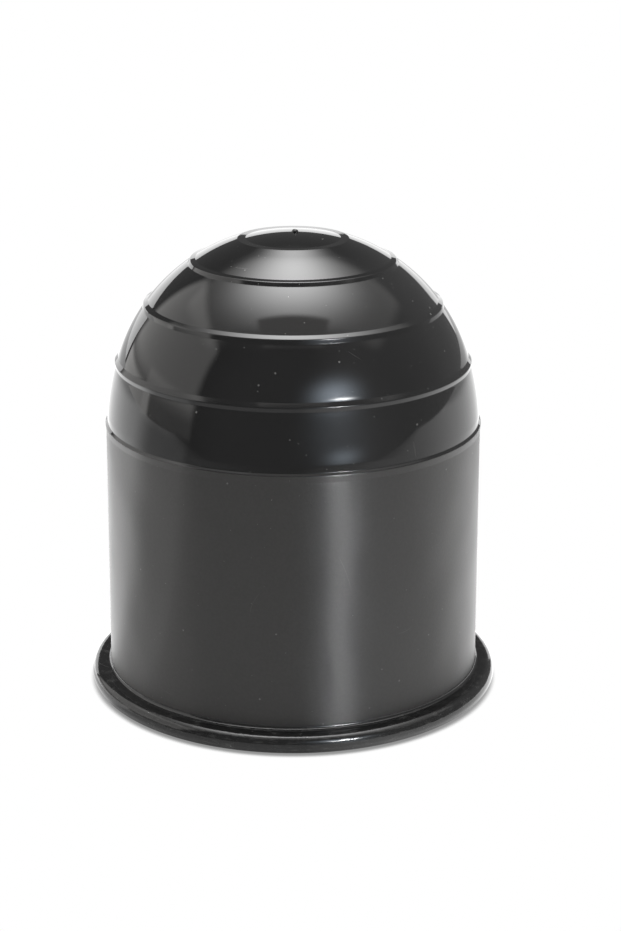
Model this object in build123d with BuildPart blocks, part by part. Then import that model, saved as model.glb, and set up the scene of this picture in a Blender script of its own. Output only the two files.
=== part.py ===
from build123d import *
import os
from math import acos, atan2, cos, degrees, radians, sin, sqrt, tan

# Tow ball cover: a black plastic moulding that drops over a tow ball.
# It is one piece, turned from one section: a round rim, a straight body with a little draft,
# a shoulder where it steps in, and a dome with raised beads that ends in a low, flatter cap.
# The origin is at the centre of the rim's underside, and +Z runs up through the dome.
# Lengths are in millimetres and angles in degrees.

# Driving dimensions

# The ball, and the room left round it inside the body
ball_diameter = 50.0
ball_clearance = 5.5

# Wall of the body and the dome
wall = 1.95

# Straight body, from the mouth up to the edge of the shoulder
body_height = 47.75
body_draft = 0.27

# Rim round the mouth, with a fully rounded outer edge
rim_reach = 3.34
rim_thickness = 3.45
rim_fillet = 0.6
mouth_round = 0.7

# Shoulder: a shallow band round the top of the body, then a slope up to the dome
shoulder_lip = 0.15
shoulder_band = 2.0
shoulder_round = 0.35
shoulder_inset = 0.69
shoulder_rise = 0.4

# Dome, which starts as a short upright skirt
skirt_height = 1.0
bead_count = 3
first_bead_angle = 17.3
bead_pitch = 20.1
bead_width = 1.6
bead_crest = 0.5
bead_stand = 0.4
groove_depth = 0.3

# Cap on top of the dome, a disc that curves less than the dome does. The dome sweeps up
# to its edge in a hollow, and the moulding gate leaves a mark at its centre.
cap_radius = 9.5
cap_sweep = 1.9
cap_step = 0.2
cap_curve = 42.0
gate_radius = 0.6
gate_height = 0.5

# Worked out from the driving dimensions

bore_radius = ball_diameter / 2 + ball_clearance
body_top_radius = bore_radius + wall
foot_radius = body_top_radius + (body_height - rim_thickness) * tan(radians(body_draft))
rim_radius = foot_radius + rim_reach
rim_round = rim_thickness / 2
dome_radius = body_top_radius - shoulder_inset
dome_centre = body_height + shoulder_rise + skirt_height
inner_radius = dome_radius - wall
shoulder_slope = degrees(atan2(shoulder_inset, shoulder_rise))
bore_end = body_height - wall * tan(radians(shoulder_slope / 2))
bead_angles = [first_bead_angle + n * bead_pitch for n in range(bead_count)]
bead_spread = degrees(bead_width / 2 / dome_radius)
crest_spread = degrees(bead_crest / 2 / dome_radius)
groove_spread = degrees(bead_width / 2 / inner_radius)
sweep_foot = degrees(acos((cap_radius + cap_sweep) / dome_radius))
cap_edge_height = dome_centre + sqrt(dome_radius**2 - cap_radius**2) + cap_step
cap_centre = cap_edge_height - sqrt(cap_curve**2 - cap_radius**2)


def on_dome(radius, angle):
    """Point of the section at a radius and an angle, seen from the dome's centre."""
    return (radius * cos(radians(angle)), dome_centre + radius * sin(radians(angle)))


def dome_arc(radius, start, end):
    """Arc of the section about the dome's centre."""
    return ThreePointArc(on_dome(radius, start), on_dome(radius, (start + end) / 2), on_dome(radius, end))


def on_cap(reach):
    """Point of the cap's curved top at a distance from the axis."""
    return (reach, cap_centre + sqrt(cap_curve**2 - reach**2))


def rim_lines():
    """Underside, rounded edge and top of the rim, and the fillet to the body."""
    edge = rim_radius - rim_round
    corner = rim_fillet * (1 - cos(radians(45)))
    Line((bore_radius + mouth_round, 0), (edge, 0))
    ThreePointArc((edge, 0), (rim_radius, rim_round), (edge, rim_thickness))
    Line((edge, rim_thickness), (foot_radius + rim_fillet, rim_thickness))
    ThreePointArc(
        (foot_radius + rim_fillet, rim_thickness),
        (foot_radius + corner, rim_thickness + corner),
        (foot_radius, rim_thickness + rim_fillet),
    )


def body_lines():
    """Drafted wall, shoulder band, slope and the skirt under the dome."""
    band_foot = (body_top_radius, body_height - shoulder_band)
    dome_root = (dome_radius, body_height + shoulder_rise)
    Line((foot_radius, rim_thickness + rim_fillet), band_foot)
    FilletPolyline(
        band_foot,
        (body_top_radius + shoulder_lip, body_height),
        dome_root,
        radius=shoulder_round,
    )
    Line(dome_root, (dome_radius, dome_centre))


def dome_lines():
    """Dome with its beads, from the skirt up to the gate mark on the cap."""
    start = 0
    for angle in bead_angles:
        low = angle - bead_spread
        high = angle + bead_spread
        dome_arc(dome_radius, start, low)
        Polyline(
            on_dome(dome_radius, low),
            on_dome(dome_radius + bead_stand, angle - crest_spread),
            on_dome(dome_radius + bead_stand, angle + crest_spread),
            on_dome(dome_radius, high),
        )
        start = high
    gate_top = cap_centre + cap_curve + gate_height
    dome_arc(dome_radius, start, sweep_foot)
    along_dome = (-sin(radians(sweep_foot)), cos(radians(sweep_foot)))
    TangentArc(on_dome(dome_radius, sweep_foot), on_cap(cap_radius), tangent=along_dome)
    ThreePointArc(on_cap(cap_radius), on_cap((cap_radius + gate_radius) / 2), on_cap(gate_radius))
    Line(on_cap(gate_radius), (gate_radius, gate_top))
    Line((gate_radius, gate_top), (0, gate_top))
    Line((0, gate_top), (0, dome_centre + inner_radius))


def inside_lines():
    """Hollow of the dome with a groove behind each bead, then the straight bore."""
    start = 90
    for angle in reversed(bead_angles):
        high = angle + groove_spread
        low = angle - groove_spread
        dome_arc(inner_radius, start, high)
        Polyline(
            on_dome(inner_radius, high),
            on_dome(inner_radius + groove_depth, angle),
            on_dome(inner_radius, low),
        )
        start = low
    corner = mouth_round * (1 - cos(radians(45)))
    dome_arc(inner_radius, start, 0)
    Line((inner_radius, dome_centre), (inner_radius, bore_end + shoulder_rise))
    Line((inner_radius, bore_end + shoulder_rise), (bore_radius, bore_end))
    Line((bore_radius, bore_end), (bore_radius, mouth_round))
    ThreePointArc(
        (bore_radius, mouth_round),
        (bore_radius + corner, corner),
        (bore_radius + mouth_round, 0),
    )


with BuildPart() as cover:
    with BuildSketch(Plane.XZ):
        with BuildLine():
            rim_lines()
            body_lines()
            dome_lines()
            inside_lines()
        make_face()
    revolve(axis=Axis.Z)

cover.part.label = "cover"
os.makedirs("parts", exist_ok=True)
export_step(cover.part, "parts/cover.step")
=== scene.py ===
# %% [markdown]
# A tow ball cover is a cup of black plastic that drops over the ball of a tow bar.
# It keeps rain off the ball, and it keeps the ball's grease off trousers and luggage.
# The real one is moulded in one shot, so this lesson makes it as one piece: a section turned round
# its axis. The imported CAD model is loaded first, and everything below is measured in its frame.

# %% The imported frame
from math import acos, asin, copysign, cos, degrees, pi, radians, sin, sqrt, tan

import bpy
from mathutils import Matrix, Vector


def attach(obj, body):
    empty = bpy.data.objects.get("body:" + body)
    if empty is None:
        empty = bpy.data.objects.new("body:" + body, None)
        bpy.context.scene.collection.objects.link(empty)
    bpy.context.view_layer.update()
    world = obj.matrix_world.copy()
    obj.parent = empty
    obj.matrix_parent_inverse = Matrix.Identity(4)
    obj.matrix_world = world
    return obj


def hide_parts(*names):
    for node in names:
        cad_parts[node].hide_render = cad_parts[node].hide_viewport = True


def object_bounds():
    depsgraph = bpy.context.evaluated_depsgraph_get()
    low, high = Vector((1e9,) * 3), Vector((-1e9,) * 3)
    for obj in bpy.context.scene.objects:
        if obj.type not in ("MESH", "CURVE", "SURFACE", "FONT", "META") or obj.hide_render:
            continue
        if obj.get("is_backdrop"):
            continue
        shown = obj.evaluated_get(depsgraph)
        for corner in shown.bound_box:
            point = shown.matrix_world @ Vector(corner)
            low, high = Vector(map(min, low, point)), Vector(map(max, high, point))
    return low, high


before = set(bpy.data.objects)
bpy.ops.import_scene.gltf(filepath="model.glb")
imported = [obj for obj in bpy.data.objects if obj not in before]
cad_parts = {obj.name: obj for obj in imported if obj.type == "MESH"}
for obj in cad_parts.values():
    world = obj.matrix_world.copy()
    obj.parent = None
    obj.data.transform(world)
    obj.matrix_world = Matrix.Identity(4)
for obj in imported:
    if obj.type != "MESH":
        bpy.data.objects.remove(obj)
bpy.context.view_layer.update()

# %% [markdown]
# The section is the half outline that a lathe would cut. Sizes are in millimetres, as on a drawing.
# A radius is measured from the axis, a height from the face that the rim stands on.
# A modelled cylinder with rings stuck on it would be quicker, but its edges would be too sharp to catch
# light. A drawn section lets every corner have its own small round, as the steel of the mould has.
# The dome isn't quite a ball: its skin swells out towards its foot, over the lowest degrees of its curve,
# so only a shallow step is left at the shoulder.

# %% Sizes of the section
MM = 0.001
bore_radius = 30.5
rim_radius = 36.0
rim_thickness = 3.45
rim_fillet = 0.6
mouth_round = 0.7
foot_radius = 32.66
body_radius = 32.45
body_height = 47.75
shoulder_band = 1.2
band_round = 0.6
shoulder_lip = 0.15
shoulder_round = 0.35
shoulder_rise = 0.4
shoulder_root = 0.2
dome_radius = 31.84
dome_centre = 49.15
swell_depth = 0.36
swell_end = 14.0
wall = 1.95
inner_radius = dome_radius - wall
ledge_height = 46.63
print("rim", 2 * rim_radius, "mm across, body", 2 * body_radius, "mm, wall", wall, "mm")

# %% [markdown]
# Three raised beads run round the dome, about twenty degrees apart, and a low cap closes it.
# Each bead is a small ridge with flat flanks and a narrow round top, and behind each one the inside has
# a shallow groove, which keeps the wall even so that the plastic shrinks evenly while it cools.
# The cap is a shallow disc inside a narrow flat ring, and the dome sweeps up to that ring in a hollow,
# so the cap reads as a button of its own with a crisp edge.

# %% Sizes of the beads and the cap
bead_angles = [17.15, 37.2, 56.85]
bead_above = 0.88
bead_below = 0.7
bead_peak = 0.33
bead_round = 0.3
bead_root = 0.15
groove_width = 1.6
groove_depth = 0.3
groove_round = 0.5
sweep_radius = 11.4
ring_edge = (9.5, 79.605)
ring_round = 0.22
disc_edge = (8.1, 79.64)
disc_root = 0.4
disc_curve = 34.1
print("beads at", bead_angles, "degrees above the dome's centre")

# %% [markdown]
# The outline is first listed as corners, each with the radius that rounds it.
# A corner with no radius stays as it is, which suits the many small steps along the dome's curve.
# Points of the dome are given by their angle above its centre, inside or outside the wall.


# %% Helpers for the dome
def on_dome(radius, angle):
    """Point of the section seen from the dome's centre."""
    return Vector((radius * cos(radians(angle)), dome_centre + radius * sin(radians(angle))))


def inside(angle, stand=0.0):
    """Point of the dome's hollow, or of something cut into it."""
    return on_dome(inner_radius + stand, angle)


def outside(angle, stand=0.0):
    """Point of the dome's skin with its fuller foot, or of something that stands on it."""
    swell = swell_depth * max(0.0, 1 - angle / swell_end) ** 2
    return on_dome(dome_radius + swell + stand, angle)


def dome_run(side, start, end, step):
    """Corners along one side of the dome's wall, without the two end points."""
    count = max(2, round(abs(end - start) / step))
    angles = [start + (end - start) * n / count for n in range(1, count)]
    return [(side(angle), 0.0) for angle in angles]


# %% [markdown]
# Blender's Bevel tool could round the corners later, but it gives all the edges that it rounds one width.
# Here each corner has a radius of its own, and its arc gets a point about every nine degrees.

# %% Helpers for arcs
arc_step = 9
fewest_steps = 4


def turned(arm, angle):
    """A 2-D arm turned about its foot."""
    return Vector((arm.x * cos(angle) - arm.y * sin(angle), arm.x * sin(angle) + arm.y * cos(angle)))


def rounded(before, corner, after, radius):
    """Points of the arc that rounds one corner."""
    back = (before - corner).normalized()
    ahead = (after - corner).normalized()
    half = back.angle(ahead) / 2
    reach = radius / tan(half)
    centre = corner + (back + ahead).normalized() * radius / sin(half)
    start = corner + back * reach - centre
    end = corner + ahead * reach - centre
    turn = end.angle_signed(start)
    count = max(fewest_steps, round(degrees(abs(turn)) / arc_step))
    return [centre + turned(start, turn * n / count) for n in range(count + 1)]


def swept(start, heading, end, count):
    """Points inside the arc that leaves a point in a heading and arrives at another point."""
    side = Vector((-heading.y, heading.x))
    chord = end - start
    radius = chord.length_squared / (2 * chord.dot(side))
    centre = start + side * radius
    turn = copysign(2 * asin(chord.length / (2 * abs(radius))), radius)
    return [centre + turned(start - centre, turn * n / count) for n in range(1, count)]


# %% [markdown]
# Long flat runs get one extra point close to each end. Smooth shading blends the normals along a face,
# so without those points the round of a corner would tint the whole wall beside it.

# %% Corners to points
hold = 0.12
long_run = 8 * hold


def outline(corners):
    """Points of the section, with each corner rounded and each long run held flat."""
    places = [place for place, radius in corners]
    points = [places[0]]
    for index in range(1, len(corners) - 1):
        place, radius = corners[index]
        if radius:
            points += rounded(places[index - 1], place, places[index + 1], radius)
        else:
            points.append(place)
    points.append(places[-1])
    held = [points[0]]
    for point in points[1:]:
        run = point - held[-1]
        if run.length > long_run:
            held += [held[-1] + run.normalized() * hold, point - run.normalized() * hold]
        held.append(point)
    return held


# %% [markdown]
# The inside comes first, from the crown of the hollow down to the mouth. Little light gets there,
# so two degrees of the dome's curve make one step.

# %% Inside of the section
inside_step = 2.0
groove_spread = degrees(groove_width / 2 / inner_radius)
corners = [(Vector((0, dome_centre + inner_radius)), 0.0)]
angle = 90
for bead in reversed(bead_angles):
    corners += dome_run(inside, angle, bead + groove_spread, inside_step)
    corners += [
        (inside(bead + groove_spread), bead_root),
        (inside(bead, groove_depth), groove_round),
        (inside(bead - groove_spread), bead_root),
    ]
    angle = bead - groove_spread
corners += dome_run(inside, angle, 0, inside_step)
corners += [
    (Vector((inner_radius, dome_centre)), 0.0),
    (Vector((inner_radius, ledge_height + shoulder_rise)), 0.0),
    (Vector((bore_radius, ledge_height)), 0.0),
    (Vector((bore_radius, 0)), mouth_round),
]
print(len(corners), "corners inside")

# %% [markdown]
# Then the outline turns under the rim and climbs the outside: rim, body, shoulder and dome.
# Going round this way makes every face of the turned piece look outwards.
# The outside is polished and would show its flats, so it has more than three times as many steps.

# %% Outside of the section, up to the highest bead
outside_step = 0.6
corners += [
    (Vector((rim_radius, 0)), rim_thickness / 2),
    (Vector((rim_radius, rim_thickness)), rim_thickness / 2),
    (Vector((foot_radius, rim_thickness)), rim_fillet),
    (Vector((body_radius, body_height - shoulder_band)), band_round),
    (Vector((body_radius + shoulder_lip, body_height)), shoulder_round),
    (Vector((dome_radius + swell_depth, body_height + shoulder_rise)), shoulder_root),
    (outside(0), 0.0),
]
angle = 0
for bead in bead_angles:
    low = bead - degrees(bead_below / dome_radius)
    high = bead + degrees(bead_above / dome_radius)
    corners += dome_run(outside, angle, low, outside_step)
    corners += [
        (outside(low), bead_root),
        (outside(bead, bead_peak), bead_round),
        (outside(high), bead_root),
    ]
    angle = high
print(len(corners), "corners up to the highest bead")

# %% [markdown]
# Above the highest bead the dome goes on to the foot of the sweep. The sweep leaves it without a kink,
# as one arc that ends on the edge of the ring, and the disc closes the section on the axis.

# %% Outside of the section, the sweep and the cap
sweep_steps = 8
disc_steps = 24
sweep_foot = degrees(acos(sweep_radius / dome_radius))
sweep_start = outside(sweep_foot)
heading = Vector((-sin(radians(sweep_foot)), cos(radians(sweep_foot))))
corners += dome_run(outside, angle, sweep_foot, outside_step)
corners += [(sweep_start, 0.0)]
corners += [(point, 0.0) for point in swept(sweep_start, heading, Vector(ring_edge), sweep_steps)]
corners += [(Vector(ring_edge), ring_round), (Vector(disc_edge), disc_root)]
disc_centre = disc_edge[1] - sqrt(disc_curve**2 - disc_edge[0] ** 2)
cap_top = disc_centre + disc_curve
for n in range(1, disc_steps + 1):
    reach = disc_edge[0] * (1 - n / disc_steps)
    corners.append((Vector((reach, disc_centre + sqrt(disc_curve**2 - reach**2))), 0.0))
section_points = outline(corners)
print(len(section_points), "points in the section, cap", round(cap_top, 2), "mm high")

# %% [markdown]
# The points become a curve object, because a curve keeps its points in order from end to end.
# It is only the lathe's template, and it is thrown away afterwards.

# %% The section as a curve
section_curve = bpy.data.curves.new("section", "CURVE")
section_curve.dimensions = "3D"
spline = section_curve.splines.new("POLY")
spline.points.add(len(section_points) - 1)
for slot, point in zip(spline.points, section_points):
    slot.co = (point.x * MM, 0, point.y * MM, 1)
section = bpy.data.objects.new("section", section_curve)
bpy.context.scene.collection.objects.link(section)
print("template with", len(spline.points), "points")

# %% [markdown]
# Shapes and finishes are both built from nodes and links, so a few short helpers keep the cells readable.


# %% Helpers for node trees
def add_node(tree, kind, **settings):
    """A new node with its settings filled in."""
    node = tree.nodes.new(kind)
    for name, value in settings.items():
        setattr(node, name, value)
    return node


def feed(tree, socket, source):
    """Gives a socket a link if the source is one, and a plain value if not."""
    if isinstance(source, bpy.types.NodeSocket):
        tree.links.new(source, socket)
    else:
        socket.default_value = source


def calc(tree, operation, first, second=0.0):
    """The result of one Math node."""
    node = add_node(tree, "ShaderNodeMath", operation=operation)
    feed(tree, node.inputs[0], first)
    feed(tree, node.inputs[1], second)
    return node.outputs[0]


def parts(tree, vector):
    """The X, Y and Z of a vector."""
    node = add_node(tree, "ShaderNodeSeparateXYZ")
    feed(tree, node.inputs[0], vector)
    return node.outputs["X"], node.outputs["Y"], node.outputs["Z"]


# %% [markdown]
# The two shapes below come from Geometry Nodes trees, which start and end alike. A tree starts with named
# inputs, which anyone can change on the modifier. It ends with smooth shading, real geometry and a finish.


# %% Start, middle and end of a tree
def start_tree(name, inputs):
    """A new tree. Returns it with its inputs, and with the inputs' identifiers by name."""
    tree = bpy.data.node_groups.new(name, "GeometryNodeTree")
    names = {}
    for label, (kind, value) in inputs.items():
        socket = tree.interface.new_socket(label, in_out="INPUT", socket_type=kind)
        if value is not None:
            socket.default_value = value
        names[label] = socket.identifier
    tree.interface.new_socket("Geometry", in_out="OUTPUT", socket_type="NodeSocketGeometry")
    return tree, add_node(tree, "NodeGroupInput").outputs, names


def moved(tree, mesh, x, y, z):
    """A mesh whose points have moved to new places."""
    spot = add_node(tree, "ShaderNodeCombineXYZ")
    feed(tree, spot.inputs["X"], x)
    feed(tree, spot.inputs["Y"], y)
    feed(tree, spot.inputs["Z"], z)
    move = add_node(tree, "GeometryNodeSetPosition")
    feed(tree, move.inputs["Geometry"], mesh)
    feed(tree, move.inputs["Position"], spot.outputs["Vector"])
    return move.outputs["Geometry"]


def finish_tree(tree, geometry, material):
    """Smooth shading, real geometry and a finish."""
    smooth = add_node(tree, "GeometryNodeSetShadeSmooth")
    feed(tree, smooth.inputs["Geometry"], geometry)
    real = add_node(tree, "GeometryNodeRealizeInstances")
    feed(tree, real.inputs["Geometry"], smooth.outputs["Geometry"])
    paint = add_node(tree, "GeometryNodeSetMaterial")
    feed(tree, paint.inputs["Geometry"], real.outputs["Geometry"])
    feed(tree, paint.inputs["Material"], material)
    out = add_node(tree, "NodeGroupOutput")
    feed(tree, out.inputs["Geometry"], paint.outputs["Geometry"])


# %% [markdown]
# A lathe is a rule: each point of the section goes round the axis in equal steps.
# The tree starts from a flat grid with one row for each point of the section and one column for each
# step. Each grid point looks up its own section point, turns it round the axis, and moves there.
# The Screw modifier could turn a profile too, but here every input has a name, and points that meet
# in the seam or on the axis are welded, so the two poles close cleanly.

# %% The turning tree
steps_round = 180
weld = 0.002 * MM


def turning_tree():
    """Turns a section curve round Z. Returns the tree and its inputs' identifiers."""
    inputs = {
        "Section": ("NodeSocketObject", None),
        "Steps round": ("NodeSocketInt", steps_round),
        "Finish": ("NodeSocketMaterial", None),
    }
    tree, given, names = start_tree("turn_section", inputs)
    template = add_node(tree, "GeometryNodeObjectInfo")
    feed(tree, template.inputs["Object"], given["Section"])
    count = add_node(tree, "GeometryNodeAttributeDomainSize", component="CURVE")
    feed(tree, count.inputs["Geometry"], template.outputs["Geometry"])
    rows = count.outputs["Point Count"]
    grid = add_node(tree, "GeometryNodeMeshGrid")
    feed(tree, grid.inputs["Vertices X"], calc(tree, "ADD", given["Steps round"], 1))
    feed(tree, grid.inputs["Vertices Y"], rows)

    index = add_node(tree, "GeometryNodeInputIndex").outputs["Index"]
    column = calc(tree, "FLOOR", calc(tree, "DIVIDE", index, rows))
    angle = calc(tree, "MULTIPLY", calc(tree, "DIVIDE", column, given["Steps round"]), 2 * pi)
    place = add_node(tree, "GeometryNodeSampleIndex", data_type="FLOAT_VECTOR", domain="POINT")
    feed(tree, place.inputs["Geometry"], template.outputs["Geometry"])
    feed(tree, place.inputs["Value"], add_node(tree, "GeometryNodeInputPosition").outputs["Position"])
    feed(tree, place.inputs["Index"], calc(tree, "MODULO", index, rows))
    reach, _, height = parts(tree, place.outputs["Value"])
    x = calc(tree, "MULTIPLY", reach, calc(tree, "COSINE", angle))
    y = calc(tree, "MULTIPLY", reach, calc(tree, "SINE", angle))
    close = add_node(tree, "GeometryNodeMergeByDistance")
    feed(tree, close.inputs["Geometry"], moved(tree, grid.outputs["Mesh"], x, y, height))
    feed(tree, close.inputs["Distance"], weld)
    finish_tree(tree, close.outputs["Geometry"], given["Finish"])
    return tree, names


# %% [markdown]
# The plastic is one black compound all over, but the mould gives it two finishes.
# The dome comes from polished steel, so it mirrors the room, and the rim is nearly as smooth.
# The straight body comes from a turned surface, so it is a shade paler and its gloss smears up and down.
# Two materials would meet in a hard line between faces. One material that reads the height on the piece
# blends them over a fraction of a millimetre, and the piece stays in one finish, as the moulding is.

# %% Values of the finish
black = (0.0118, 0.0117, 0.0118, 1)
paler = (0.045, 0.0438, 0.0426, 1)
gloss_roughness = 0.03
rim_roughness = 0.07
satin_roughness = 0.38
satin_from = 3.98 * MM
satin_to = 47.6 * MM
lower_blend = 0.12 * MM
upper_blend = 0.3 * MM
turned_stretch = 1.0
quarter_turn = 0.25
plastic_ior = 1.5
print("roughness: dome", gloss_roughness, "rim", rim_roughness, "body", satin_roughness)

# %% [markdown]
# Everything in the finish is a number between two limits or a mix of two values, steered by height or
# by noise. Noise on the object's own coordinates needs no picture and no unwrapping, and has no seam.


# %% Helpers for the finish
def ramp(tree, value, low, high, start=0.0, end=1.0):
    """A value moved smoothly from one range to another."""
    node = add_node(tree, "ShaderNodeMapRange", interpolation_type="SMOOTHSTEP")
    feed(tree, node.inputs["Value"], value)
    feed(tree, node.inputs["From Min"], low)
    feed(tree, node.inputs["From Max"], high)
    feed(tree, node.inputs["To Min"], start)
    feed(tree, node.inputs["To Max"], end)
    return node.outputs["Result"]


def blend(tree, share, first, second):
    """A mix of two plain numbers."""
    node = add_node(tree, "ShaderNodeMix", data_type="FLOAT")
    feed(tree, node.inputs[0], share)
    feed(tree, node.inputs[2], first)
    feed(tree, node.inputs[3], second)
    return node.outputs[0]


def tint(tree, share, first, second):
    """A mix of two colours."""
    node = add_node(tree, "ShaderNodeMix", data_type="RGBA")
    feed(tree, node.inputs[0], share)
    feed(tree, node.inputs[6], first)
    feed(tree, node.inputs[7], second)
    return node.outputs[2]


def noise(tree, place, scale, detail=2.0):
    """Noise on the piece's own coordinates, in repeats per metre."""
    node = add_node(tree, "ShaderNodeTexNoise")
    feed(tree, node.inputs["Vector"], place)
    node.inputs["Scale"].default_value = scale
    node.inputs["Detail"].default_value = detail
    return node.outputs["Fac"]


# %% [markdown]
# Specks of dust and fine scratches are what make black plastic look real instead of drawn.
# A Voronoi texture fills space with scattered points, and only the few that lie on the skin show,
# so the specks come out sparse and uneven without any list of places. Noise bends their outlines.
# A scratch is a thin line where a slow noise crosses its middle value, kept only in short stretches.

# %% Specks and scratches
bend_scale = 4000
bend = 0.2 * MM
speck_edge = 0.02
line_core = 0.3
stretch_scale = 2.3
stretch_ramp = (0.6, 0.66)


def specks(tree, place, scale, size):
    """Small uneven spots: 1 on a spot and 0 between them."""
    rough = add_node(tree, "ShaderNodeTexNoise")
    feed(tree, rough.inputs["Vector"], place)
    rough.inputs["Scale"].default_value = bend_scale
    bent = add_node(tree, "ShaderNodeVectorMath", operation="MULTIPLY_ADD")
    feed(tree, bent.inputs[0], rough.outputs["Color"])
    bent.inputs[1].default_value = (bend, bend, bend)
    feed(tree, bent.inputs[2], place)
    cells = add_node(tree, "ShaderNodeTexVoronoi")
    feed(tree, cells.inputs["Vector"], bent.outputs["Vector"])
    cells.inputs["Scale"].default_value = scale
    chance = add_node(tree, "ShaderNodeSeparateColor")
    feed(tree, chance.inputs[0], cells.outputs["Color"])
    reach = calc(tree, "MULTIPLY", calc(tree, "POWER", chance.outputs["Red"], 2.0), size)
    return ramp(tree, calc(tree, "SUBTRACT", reach, cells.outputs["Distance"]), 0.0, speck_edge)


def scratches(tree, place, scale, width):
    """Short thin lines: 1 on a line and 0 beside it."""
    slow = noise(tree, place, scale, detail=0.0)
    across = calc(tree, "ABSOLUTE", calc(tree, "SUBTRACT", slow, 0.5))
    line = ramp(tree, across, line_core * width, width, 1.0, 0.0)
    stretch = ramp(tree, noise(tree, place, stretch_scale * scale, detail=1.0), *stretch_ramp)
    return calc(tree, "MULTIPLY", line, stretch)


# %% [markdown]
# The colour is built up in layers: black, the paler body with a faint mottle, then dust and scratches,
# which stand out more on the polished parts, and last the rim, which is scuffed along its length because
# it stands on things and is handled. The scuffs are noise squeezed flat, so it runs in level streaks.

# %% Colour of the plastic
dust = (0.3, 0.3, 0.29, 1)
speck_scales = (390, 900)
speck_size = 0.09
scratch_scale = 60
scratch_width = 0.002
scratch_strength = 0.35
dust_on_gloss = 0.6
dust_on_satin = 0.3
mottle_scale = 2200
mottle_ramp = (0.3, 0.7, 0.85, 1.0)
streak_scale = 2600
streak_squeeze = (0.2, 0.2, 1)
scuff_ramp = (0.5, 0.8, 0.0, 0.14)


def level_streaks(tree, place):
    """Fine noise drawn out into level streaks."""
    drawn = add_node(tree, "ShaderNodeVectorMath", operation="MULTIPLY")
    feed(tree, drawn.inputs[0], place)
    drawn.inputs[1].default_value = streak_squeeze
    return noise(tree, drawn.outputs["Vector"], streak_scale, detail=3.0)


def plastic_colour(tree, place, satin, rim, streaks):
    """The compound's black, its paler body, dust, scratches and the rim's scuffs."""
    coarse, fine = [specks(tree, place, scale, speck_size) for scale in speck_scales]
    lines = scratches(tree, place, scratch_scale, scratch_width)
    lines = calc(tree, "MULTIPLY", lines, scratch_strength)
    marks = calc(tree, "MAXIMUM", calc(tree, "MAXIMUM", coarse, fine), lines)
    marks = calc(tree, "MULTIPLY", marks, blend(tree, satin, dust_on_gloss, dust_on_satin))
    scuffs = calc(tree, "MULTIPLY", rim, ramp(tree, streaks, *scuff_ramp))
    mottle = ramp(tree, noise(tree, place, mottle_scale, detail=3.0), *mottle_ramp)
    shade = tint(tree, calc(tree, "MULTIPLY", satin, mottle), black, paler)
    return tint(tree, calc(tree, "MAXIMUM", marks, scuffs), shade, dust)


# %% [markdown]
# No moulding is quite flat. Slow waves bend the body's gloss, the polish leaves a trace of them on the
# dome, and a fine grain lies on top. These are far too shallow to model, so bump nodes tilt the light.
# The shapes that can be seen as shapes, such as the beads, are all in the mesh.

# %% Waves and grain
wave_scale = 70
wave_height = 0.4 * MM
wave_on_gloss = 0.006
wave_on_satin = 0.9
grain_scale = 3000
grain_height = 0.04 * MM
grain_on_gloss = 0.005
grain_on_satin = 0.25
grain_on_rim = 0.45


def bump(tree, height, strength, depth):
    """A Bump node for a height between 0 and 1."""
    node = add_node(tree, "ShaderNodeBump")
    feed(tree, node.inputs["Height"], height)
    feed(tree, node.inputs["Strength"], strength)
    node.inputs["Distance"].default_value = depth
    return node


def plastic_normal(tree, place, satin, rim, streaks):
    """The skin's direction with its waves and its grain."""
    slow = noise(tree, place, wave_scale, detail=1.0)
    wave = bump(tree, slow, blend(tree, satin, wave_on_gloss, wave_on_satin), wave_height)
    fine = blend(tree, rim, noise(tree, place, grain_scale), streaks)
    strength = blend(tree, rim, blend(tree, satin, grain_on_gloss, grain_on_satin), grain_on_rim)
    grain = bump(tree, fine, strength, grain_height)
    feed(tree, grain.inputs["Normal"], wave.outputs["Normal"])
    return grain.outputs["Normal"]


# %% [markdown]
# The whole finish is one Principled shader. The body's roughness is stretched across the turning marks,
# so a small lamp becomes one upright streak there, and a slight haze breaks up the polish of the dome.

# %% The black plastic
haze_scale = 140
haze_ramp = (0.45, 0.75, 0.0, 0.01)


def new_material(name):
    """A material with an empty node tree. Returns both."""
    material = bpy.data.materials.new(name)
    material.use_nodes = True
    material.node_tree.nodes.clear()
    return material, material.node_tree


def show(tree, shader):
    """Links a shader to the material's output."""
    out = add_node(tree, "ShaderNodeOutputMaterial")
    feed(tree, out.inputs["Surface"], shader)


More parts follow.
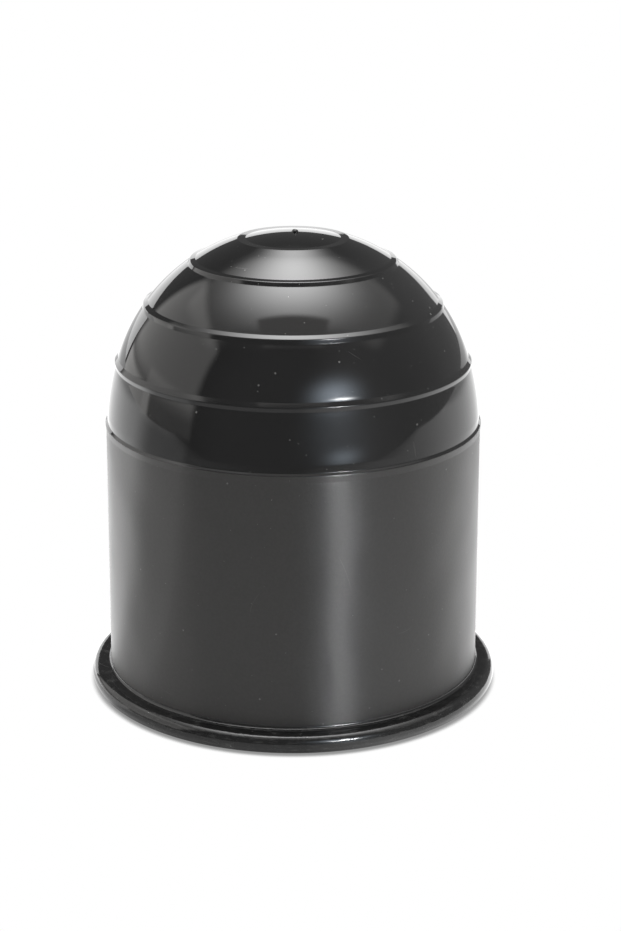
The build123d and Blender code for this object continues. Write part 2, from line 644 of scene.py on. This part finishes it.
def black_plastic():
    """Black moulding compound with a polished dome and rim and a turned satin body."""
    material, tree = new_material("black_plastic")
    place = add_node(tree, "ShaderNodeTexCoord").outputs["Object"]
    height = parts(tree, place)[2]
    above = ramp(tree, height, satin_from, satin_from + lower_blend)
    below = ramp(tree, height, satin_to, satin_to + upper_blend, 1.0, 0.0)
    satin = calc(tree, "MULTIPLY", above, below)
    rim = ramp(tree, height, rim_thickness * MM, satin_from, 1.0, 0.0)
    streaks = level_streaks(tree, place)
    haze = ramp(tree, noise(tree, place, haze_scale, detail=4.0), *haze_ramp)
    smooth = ramp(tree, height, satin_from, satin_to, rim_roughness, gloss_roughness)
    roughness = calc(tree, "ADD", blend(tree, satin, smooth, satin_roughness), haze)

    skin = add_node(tree, "ShaderNodeBsdfPrincipled")
    feed(tree, skin.inputs["Base Color"], plastic_colour(tree, place, satin, rim, streaks))
    feed(tree, skin.inputs["Roughness"], roughness)
    feed(tree, skin.inputs["Normal"], plastic_normal(tree, place, satin, rim, streaks))
    skin.inputs["IOR"].default_value = plastic_ior
    skin.inputs["Anisotropic"].default_value = turned_stretch
    skin.inputs["Anisotropic Rotation"].default_value = quarter_turn
    around = add_node(tree, "ShaderNodeTangent", direction_type="RADIAL", axis="Z")
    feed(tree, skin.inputs["Tangent"], around.outputs["Tangent"])
    show(tree, skin.outputs["BSDF"])
    return material


plastic = black_plastic()
print("finish with", len(plastic.node_tree.nodes), "nodes")

# %% [markdown]
# The modifier's inputs are set by their identifiers, before Blender first works the tree out.
# Then the result is kept as a plain mesh, and the modifier and the template go.


# %% Turning the cover
def plain_piece(name, tree, values):
    """A new object made by a tree, kept as a plain mesh."""
    piece = bpy.data.objects.new(name, bpy.data.meshes.new(name))
    bpy.context.scene.collection.objects.link(piece)
    nodes = piece.modifiers.new("shape", "NODES")
    nodes.node_group = tree
    for identifier, value in values.items():
        nodes[identifier] = value
    made = piece.evaluated_get(bpy.context.evaluated_depsgraph_get())
    mesh = bpy.data.meshes.new_from_object(made)
    piece.modifiers.clear()
    piece.data = mesh
    mesh.name = name
    return piece


tree, names = turning_tree()
cover = plain_piece(
    "cover_shell",
    tree,
    {names["Section"]: section, names["Steps round"]: steps_round, names["Finish"]: plastic},
)
bpy.data.objects.remove(section)
print("cover:", len(cover.data.polygons), "faces,", [round(v * 1000, 2) for v in cover.dimensions], "mm")

# %% [markdown]
# Plastic enters the mould at the crown, and where the runner snaps off it leaves a small torn stub.
# A short cylinder would be quicker, but it would look like a pin that was put there on purpose.
# So the stub is a squashed ball, half sunk in the cap, whose skin is pushed about by noise.

# %% The gate mark
gate_radius = 0.6 * MM
gate_height = 0.52 * MM
gate_side = 0.3 * MM
gate_tear = 0.3
gate_seed = 3.0
gate_fineness = 5
tear_scale = 1.6
tear_middle = 0.62


def gate_tree():
    """A torn stub. Returns the tree and its inputs' identifiers."""
    inputs = {
        "Radius": ("NodeSocketFloat", gate_radius),
        "Height": ("NodeSocketFloat", gate_height),
        "Side": ("NodeSocketFloat", gate_side),
        "Foot": ("NodeSocketFloat", 0.0),
        "Tear": ("NodeSocketFloat", gate_tear),
        "Seed": ("NodeSocketFloat", gate_seed),
        "Finish": ("NodeSocketMaterial", None),
    }
    tree, given, names = start_tree("gate_stub", inputs)
    ball = add_node(tree, "GeometryNodeMeshIcoSphere")
    ball.inputs["Radius"].default_value = 1.0
    ball.inputs["Subdivisions"].default_value = gate_fineness
    rough = add_node(tree, "ShaderNodeTexNoise", noise_dimensions="4D")
    feed(tree, rough.inputs["W"], given["Seed"])
    rough.inputs["Scale"].default_value = tear_scale
    away = calc(tree, "SUBTRACT", rough.outputs["Fac"], tear_middle)
    away = calc(tree, "MULTIPLY", away, given["Tear"])
    reach = calc(tree, "ADD", 1.0, calc(tree, "MULTIPLY", away, 2.0))
    wide = calc(tree, "MULTIPLY", given["Radius"], reach)
    tall = calc(tree, "MULTIPLY", given["Height"], reach)
    x, y, z = parts(tree, add_node(tree, "GeometryNodeInputPosition").outputs["Position"])
    x = calc(tree, "ADD", calc(tree, "MULTIPLY", x, wide), given["Side"])
    y = calc(tree, "MULTIPLY", y, wide)
    z = calc(tree, "ADD", calc(tree, "MULTIPLY", z, tall), given["Foot"])
    finish_tree(tree, moved(tree, ball.outputs["Mesh"], x, y, z), given["Finish"])
    return tree, names


tree, names = gate_tree()
gate = plain_piece("gate_mark", tree, {names["Foot"]: cap_top * MM, names["Finish"]: plastic})
print("gate mark:", len(gate.data.polygons), "faces")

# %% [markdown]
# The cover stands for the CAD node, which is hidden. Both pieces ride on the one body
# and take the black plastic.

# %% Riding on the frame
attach(cover, "root")
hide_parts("cover")
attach(gate, "root")

# %% [markdown]
# Gloss black shows the room more than itself, so the studio is built as the cover would mirror it.
# The floor is white paper. In the gloss it is brightest beside and behind the cover and dimmer in front
# on the left, and it grows brighter close to the cover. Each ramp below says where it starts and ends,
# in metres or in degrees round the cover from the camera's side, and then the level at both ends.

# %% The floor in the gloss
paper_behind = (0.25, 0.45, 1.3, 0.75)
paper_before = (-0.24, -0.12, 0.7, 1.0)
paper_near = (0.11, 0.2, 1.8, 1.0)
paper_left = (-110, -90, 1.3, 0.55)
paper_left_front = (-68, -61, 1.0, 0.6)
paper_front = (-20, 30, 0.0, 0.72)
paper_right = (60, 110, 0.0, 0.45)


def turn_ramp(tree, turn, levels):
    """A ramp along the turn round the cover."""
    start, end, first, last = levels
    return ramp(tree, turn, radians(start), radians(end), first, last)


def paper_level(tree, here):
    """How bright the paper is in the gloss at a place."""
    x, y = parts(tree, here)[:2]
    turn = calc(tree, "ARCTAN2", x, calc(tree, "MULTIPLY", y, -1.0))
    left = turn_ramp(tree, turn, paper_left)
    left = calc(tree, "MULTIPLY", left, turn_ramp(tree, turn, paper_left_front))
    right = calc(tree, "ADD", turn_ramp(tree, turn, paper_front), turn_ramp(tree, turn, paper_right))
    level = calc(tree, "MAXIMUM", left, right)
    away = add_node(tree, "ShaderNodeVectorMath", operation="LENGTH")
    feed(tree, away.inputs[0], here)
    for distance, levels in ((y, paper_behind), (y, paper_before), (away.outputs["Value"], paper_near)):
        level = calc(tree, "MULTIPLY", level, ramp(tree, distance, *levels))
    return level


# %% [markdown]
# The camera sees the paper as plain white, darkened only where the rim stands close over it.
# The soft light that it throws back comes from an ordinary matt white.
# A white that is only lit would turn grey away from the lamp, so a Light Path node picks between the two.

# %% The floor
matt_white = (0.8, 0.8, 0.8, 1)
shadow_reach = 1.2 * MM
shadow_samples = 16
shadow_ramp = (0.2, 0.95, 0.3, 1.0)
floor_corners = [(-0.9, -0.24, 0), (1.2, -0.24, 0), (1.2, 1.0, 0), (-0.9, 1.0, 0)]


def mix_shaders(tree, share, first, second):
    """A mix of two shaders."""
    node = add_node(tree, "ShaderNodeMixShader")
    feed(tree, node.inputs[0], share)
    feed(tree, node.inputs[1], first)
    feed(tree, node.inputs[2], second)
    return node.outputs["Shader"]


def white_paper():
    """White to the camera and in the gloss, with a shadow where something stands close."""
    material, tree = new_material("white_paper")
    path = add_node(tree, "ShaderNodeLightPath").outputs
    mirrored = calc(tree, "MAXIMUM", path["Is Glossy Ray"], path["Is Transmission Ray"])
    shown = calc(tree, "MAXIMUM", path["Is Camera Ray"], mirrored)
    matt = add_node(tree, "ShaderNodeBsdfDiffuse")
    matt.inputs["Color"].default_value = matt_white
    close = add_node(tree, "ShaderNodeAmbientOcclusion", samples=shadow_samples)
    close.inputs["Distance"].default_value = shadow_reach
    shade = ramp(tree, close.outputs["AO"], *shadow_ramp)
    here = add_node(tree, "ShaderNodeTexCoord").outputs["Object"]
    level = blend(tree, mirrored, 1.0, paper_level(tree, here))
    glowing = add_node(tree, "ShaderNodeEmission")
    feed(tree, glowing.inputs["Strength"], calc(tree, "MULTIPLY", shade, level))
    show(tree, mix_shaders(tree, shown, matt.outputs["BSDF"], glowing.outputs["Emission"]))
    return material


def sheet(name, corners, material):
    """A flat stage sheet through the given corners."""
    mesh = bpy.data.meshes.new(name)
    mesh.from_pydata(corners, [], [tuple(range(len(corners)))])
    mesh.materials.append(material)
    piece = bpy.data.objects.new(name, mesh)
    bpy.context.scene.collection.objects.link(piece)
    piece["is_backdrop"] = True
    return piece


floor = sheet("floor", floor_corners, white_paper())
print("floor", [round(v, 3) for v in floor.dimensions], "m")

# %% [markdown]
# The lights that the gloss mirrors are glowing panels. Area lamps could do the same, but a panel can fade:
# a real soft box falls off from its centre, and a screen out of focus has soft edges.
# A panel adds its light to what is behind it, or hides that. Only the gloss sees it, so the panels
# neither show in the picture nor change the even light on matt surfaces.


# %% Light of a panel
def centre_fade(tree, x, y, spread):
    """1 in the middle of a panel, falling away like a bell."""
    across = calc(tree, "POWER", calc(tree, "DIVIDE", x, spread[0]), 2.0)
    along = calc(tree, "POWER", calc(tree, "DIVIDE", y, spread[1]), 2.0)
    return calc(tree, "EXPONENT", calc(tree, "MULTIPLY", calc(tree, "ADD", across, along), -1.0))


def edge_fade(tree, x, y, size, margin):
    """1 on a panel, falling to 0 over a margin inside its edges."""
    half_x = size[0] / 2
    half_y = size[1] / 2
    across = ramp(tree, calc(tree, "ABSOLUTE", x), half_x - margin, half_x, 1.0, 0.0)
    along = ramp(tree, calc(tree, "ABSOLUTE", y), half_y - margin, half_y, 1.0, 0.0)
    return calc(tree, "MULTIPLY", across, along)


def glow(name, colour, strength, size=None, spread=None, margin=None, hides=False):
    """Even light, or light that fades from its centre or at its edges."""
    material, tree = new_material(name)
    light = add_node(tree, "ShaderNodeEmission")
    light.inputs["Color"].default_value = colour
    light.inputs["Strength"].default_value = strength
    if not spread and not margin:
        show(tree, light.outputs["Emission"])
        return material
    x, y = parts(tree, add_node(tree, "ShaderNodeTexCoord").outputs["Object"])[:2]
    if spread:
        fade = centre_fade(tree, x, y, spread)
    else:
        fade = edge_fade(tree, x, y, size, margin)
    clear = add_node(tree, "ShaderNodeBsdfTransparent").outputs["BSDF"]
    if hides:
        show(tree, mix_shaders(tree, fade, clear, light.outputs["Emission"]))
        return material
    feed(tree, light.inputs["Strength"], calc(tree, "MULTIPLY", fade, strength))
    both = add_node(tree, "ShaderNodeAddShader")
    feed(tree, both.inputs[0], light.outputs["Emission"])
    feed(tree, both.inputs[1], clear)
    show(tree, both.outputs["Shader"])
    return material


# %% [markdown]
# Directions are given as seen from the cover, in degrees, because that is how a reflection is read:
# a spot on the skin and the camera fix the direction that is mirrored there.


# %% Helpers for the panels
def gloss_only(piece):
    """Hides a panel from all but the gloss."""
    piece.visible_camera = False
    piece.visible_diffuse = False
    piece.visible_shadow = False
    return piece


def panel(name, centre, size, colour, strength, aim=None, **fade):
    """A glowing panel that lies flat overhead, or is turned towards a point."""
    x = size[0] / 2
    y = size[1] / 2
    material = glow(name, colour, strength, size, **fade)
    piece = gloss_only(sheet(name, [(-x, -y, 0), (x, -y, 0), (x, y, 0), (-x, y, 0)], material))
    piece.location = centre
    if aim is not None:
        piece.rotation_euler = (Vector(aim) - Vector(centre)).to_track_quat("Z", "Y").to_euler()
    return piece


def towards(azimuth, elevation):
    """A direction from the cover: 0 is the camera's side, 90 is its right."""
    flat = cos(radians(elevation))
    return Vector((sin(radians(azimuth)) * flat, -cos(radians(azimuth)) * flat, sin(radians(elevation))))


# %% [markdown]
# Two soft boxes hang overhead under a pale ceiling, the second one further back. A dim hood in front
# of them covers part of the first one, which leaves a darker patch at the bottom of its reflection.
# Each line gives the panel's place, size, colour and level, and how it fades.

# %% Panels overhead
white = (1, 1, 1, 1)
warm = (1, 0.985, 0.965, 1)
soft_box = panel("soft_box", (0, 0.078, 0.67), (1.44, 1.08), white, 9.4, spread=(0.258, 0.258))
back_box = panel("back_box", (0, 0.348, 0.682), (1.08, 1.08), white, 4.1, spread=(0.15, 0.198))
ceiling = panel("ceiling", (0, 0.108, 0.694), (1.68, 0.912), warm, 0.5, margin=0.18)
hood = panel("hood", (0, -0.27, 0.61), (0.444, 0.28), warm, 0.85, margin=0.045, hides=True)
print("overhead:", soft_box.name, back_box.name, ceiling.name, hood.name)

# %% [markdown]
# On the left stand a pale screen, a dimmer one below it, and a low wall further back.
# Behind the cover a lit backdrop rises from the end of the floor. Its upper edge steps down to the right.

# %% Panels at the sides and behind
screen_away = 0.5
screen_height = 0.355
screen_place = towards(-100, 0) * screen_away + Vector((0, 0, screen_height))
screen_aim = (0, 0, screen_height)
left_screen = panel("left_screen", screen_place, (0.86, 0.59), warm, 1.1, screen_aim, margin=0.1)
low_height = 0.095
low_place = towards(-84, 0) * screen_away + Vector((0, 0, low_height))
low_aim = (0, 0, low_height)
low_screen = panel("low_screen", low_place, (0.43, 0.19), warm, 0.36, low_aim, margin=0.04)
wall_place = (-0.88, 0.57, 0.02)
wall_aim = (0, 0.57, 0.02)
left_wall = panel("left_wall", wall_place, (0.9, 0.28), warm, 1.3, wall_aim, margin=0.06)
backdrop_y = 1.0
backdrop_top = [(0.53, 0.19), (0.49, 0.21), (0.25, 0.255), (0.0, 0.285), (-0.81, 0.285)]
backdrop_edge = [(-0.81, 0.0), (0.53, 0.0)] + backdrop_top
backdrop_corners = [(x, backdrop_y, z) for x, z in backdrop_edge]
backdrop = gloss_only(sheet("backdrop", backdrop_corners, glow("backdrop", white, 1.8)))
print("upright:", left_screen.name, low_screen.name, left_wall.name, backdrop.name)

# %% [markdown]
# In front on the right is a lamp: a small bright strip in a cool glow, with a weak halo under it and
# a sheen close to the floor. The dome mirrors the glow as a soft spot, each sharp edge of the cover
# catches the strip as a thin line, and the turned body draws it out into one upright streak.

# %% The lamp that the gloss mirrors
cool = (0.75, 0.87, 1, 1)
top = Vector((0, 0, 0.07))
lamp_place = top + towards(27, 21) * 0.5
halo_place = top + towards(26, 3) * 0.52
strip_place = top + towards(28.5, 16.5) * 0.48
sheen_place = (0.15, -0.277, 0.025)
sheen_aim = (0.008, -0.031, 0.0525)
cool_lamp = panel("cool_lamp", lamp_place, (0.5, 0.5), cool, 5.4, top, spread=(0.11, 0.07))
halo = panel("halo", halo_place, (0.7, 0.6), cool, 0.6, top, spread=(0.15, 0.12))
sheen = panel("sheen", sheen_place, (0.28, 0.1), cool, 2.2, sheen_aim, spread=(0.048, 0.016))
strip = panel("strip", strip_place, (0.3, 0.08), white, 240.0, top, spread=(0.05, 0.011))
print("in front:", cool_lamp.name, halo.name, sheen.name, strip.name)

# %% [markdown]
# The even light on the matt side of things comes from one broad lamp overhead, which the gloss
# doesn't see, and from the room.

# %% The broad lamp
lamp_data = bpy.data.lights.new("broad_lamp", "AREA")
lamp_data.shape = "SQUARE"
lamp_data.size = 0.8
lamp_data.energy = 7.0
lamp = bpy.data.objects.new("broad_lamp", lamp_data)
lamp.location = (0, 0.1, 0.9)
lamp.visible_camera = False
lamp.visible_glossy = False
bpy.context.scene.collection.objects.link(lamp)
print("broad lamp:", lamp_data.energy, "W,", round(lamp_data.size, 2), "m wide")

# %% [markdown]
# In the gloss the room is dim, a little paler in front and on the right. Its soft light on matt surfaces
# is even. Only the camera sees it as white, so the background stays clean.
# Each ramp runs along one part of the direction that a ray takes, from -1 to 1.

# %% The room
room_dim = 0.145
room_soft = 0.45
room_front = (-0.8, -0.2, 0.13, 0.0)
room_right = (0.1, 0.6, 0.0, 0.27)
room_right_back = (0.4, 0.9, 1.0, 0.5)
world = bpy.data.worlds.new("room")
world.use_nodes = True
bpy.context.scene.world = world
tree = world.node_tree
tree.nodes.clear()
x, y = parts(tree, add_node(tree, "ShaderNodeTexCoord").outputs["Generated"])[:2]
right = calc(tree, "MULTIPLY", ramp(tree, x, *room_right), ramp(tree, y, *room_right_back))
dim = calc(tree, "ADD", calc(tree, "ADD", ramp(tree, y, *room_front), right), room_dim)
seen = add_node(tree, "ShaderNodeLightPath").outputs
room = add_node(tree, "ShaderNodeBackground")
room.inputs["Color"].default_value = white
feed(tree, room.inputs["Strength"], blend(tree, seen["Is Diffuse Ray"], dim, room_soft))
paper = add_node(tree, "ShaderNodeBackground")
paper.inputs["Color"].default_value = white
paper.inputs["Strength"].default_value = 1.0
choice = mix_shaders(tree, seen["Is Camera Ray"], room.outputs["Background"], paper.outputs["Background"])
feed(tree, add_node(tree, "ShaderNodeOutputWorld").inputs["Surface"], choice)
print("room with", len(tree.nodes), "nodes")

# %% [markdown]
# The camera stands a little above the cover and looks down at it, about forty centimetres away.
# A long lens keeps the perspective calm, and a small shift puts the cover left of the middle.

# %% The camera
look_down = 18.333
camera_data = bpy.data.cameras.new("camera")
camera_data.sensor_fit = "VERTICAL"
camera_data.sensor_height = 36.0
camera_data.lens = 87.04
camera_data.shift_x = 0.0186
camera = bpy.data.objects.new("camera", camera_data)
camera.location = (0, -0.374636, 0.163037)
camera.rotation_euler = (radians(90 - look_down), 0, 0)
bpy.context.scene.collection.objects.link(camera)
bpy.context.scene.camera = camera
bpy.context.scene.view_settings.view_transform = "Standard"
print("camera", round(camera.location.length, 3), "m from the cover's foot")

# %% Size of the visual box
low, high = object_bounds()
print("visual box", [round(v, 5) for v in low], [round(v, 5) for v in high])
